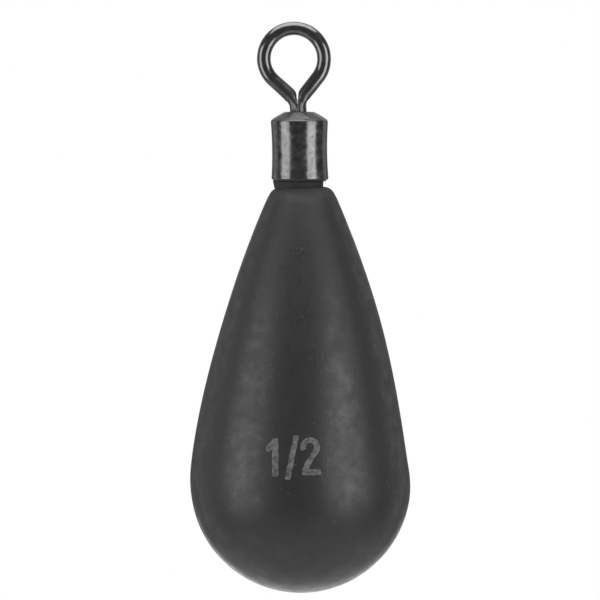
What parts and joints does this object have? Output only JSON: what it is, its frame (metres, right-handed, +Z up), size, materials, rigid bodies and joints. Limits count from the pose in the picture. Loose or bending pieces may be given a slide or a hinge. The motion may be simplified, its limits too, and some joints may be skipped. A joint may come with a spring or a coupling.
{
  "type": "fishing sinker",
  "caption": "Teardrop fishing weight with a ball end, hung on a rolling swivel by a keyhole wire eye that takes the line or a hook ring.",
  "frame": {"origin": "on the sinker's axis, at the centre of the eye's loop when the eye stands upright", "axes": "+Z up along the sinker's axis, +Y along the axis of the loop's hole, with the side the picture shows at -Y"},
  "size_m": [0.0098, 0.0098, 0.0256],
  "materials": {
    "coated_tungsten": "satin black coat over pressed and sintered tungsten, fine grain",
    "eye_wire": "glossy black-nickel plate over drawn wire",
    "barrel_plate": "glossy black-nickel plate over a drawn and rolled tube",
    "pin_steel": "plain drawn steel",
    "bush": "matt black moulded acetal",
    "epoxy": "cured epoxy"
  },
  "bodies": {
    "eye": {"line_eye": "eye_wire"},
    "barrel": {"swivel_barrel": "barrel_plate"},
    "sinker": {"sinker_body": "coated_tungsten", "anchor_pin": "pin_steel", "neck_bush": "bush", "epoxy_bond": "epoxy"}
  },
  "joints": [
    {"name": "eye_swivel", "type": "hinge", "parent": "eye", "child": "barrel", "pos_m": [0, 0, -0.00326], "axis": [0, 0, 1], "continuous": true},
    {"name": "pin_swivel", "type": "hinge", "parent": "barrel", "child": "sinker", "pos_m": [0, 0, -0.00527], "axis": [0, 0, 1], "continuous": true}
  ]
}
